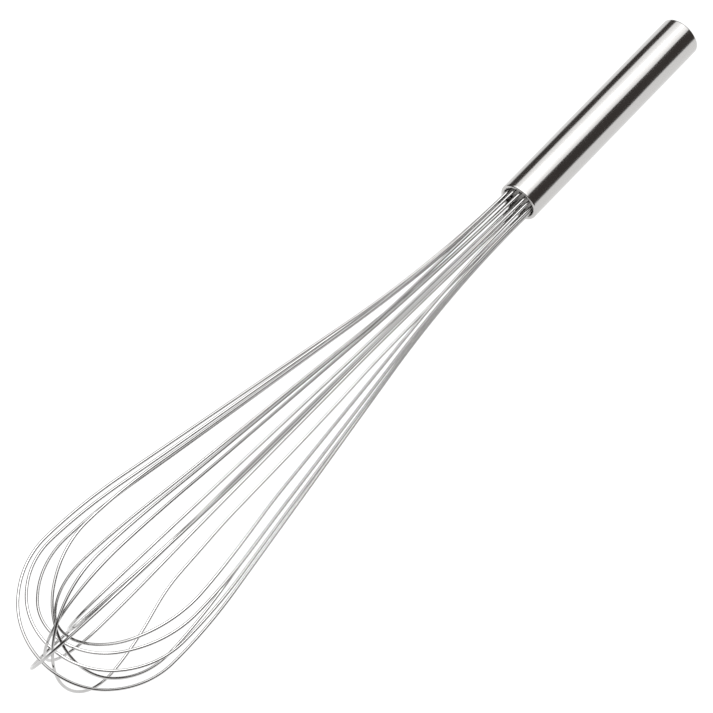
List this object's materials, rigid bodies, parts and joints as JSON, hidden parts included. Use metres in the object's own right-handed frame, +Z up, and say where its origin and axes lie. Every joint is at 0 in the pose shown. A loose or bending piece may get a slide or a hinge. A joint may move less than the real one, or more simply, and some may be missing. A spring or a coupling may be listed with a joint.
{
  "type": "balloon whisk",
  "caption": "Long balloon whisk: a polished steel tube handle with a rolled lip, holding a ring of bent spring-wire loops that form a pear-shaped cage.",
  "frame": {"origin": "bottom centre of the bounding box, on the surface that the whisk lies on", "axes": "+X towards the butt of the handle along the whisk's length, +Z up, with the whisk resting on its balloon and on the edge of the butt"},
  "size_m": [0.5956, 0.097, 0.1017],
  "materials": {
    "handle_steel": "mirror-polished stainless steel with fine polishing lines",
    "plate_steel": "plain stamped stainless steel",
    "resin": "cast grey resin",
    "plug_rubber": "plain rubber",
    "spring_wire": "bright drawn stainless steel spring wire"
  },
  "bodies": {
    "root": {"handle_tube": "handle_steel", "end_cap": "handle_steel", "wire_plate": "plate_steel", "wire_seal": "resin", "backing_plug": "plug_rubber", "wire_loop_1": "spring_wire", "wire_loop_2": "spring_wire", "wire_loop_3": "spring_wire", "wire_loop_4": "spring_wire", "wire_loop_5": "spring_wire", "wire_loop_6": "spring_wire", "wire_loop_7": "spring_wire", "wire_loop_8": "spring_wire", "wire_loop_9": "spring_wire"}
  },
  "joints": []
}
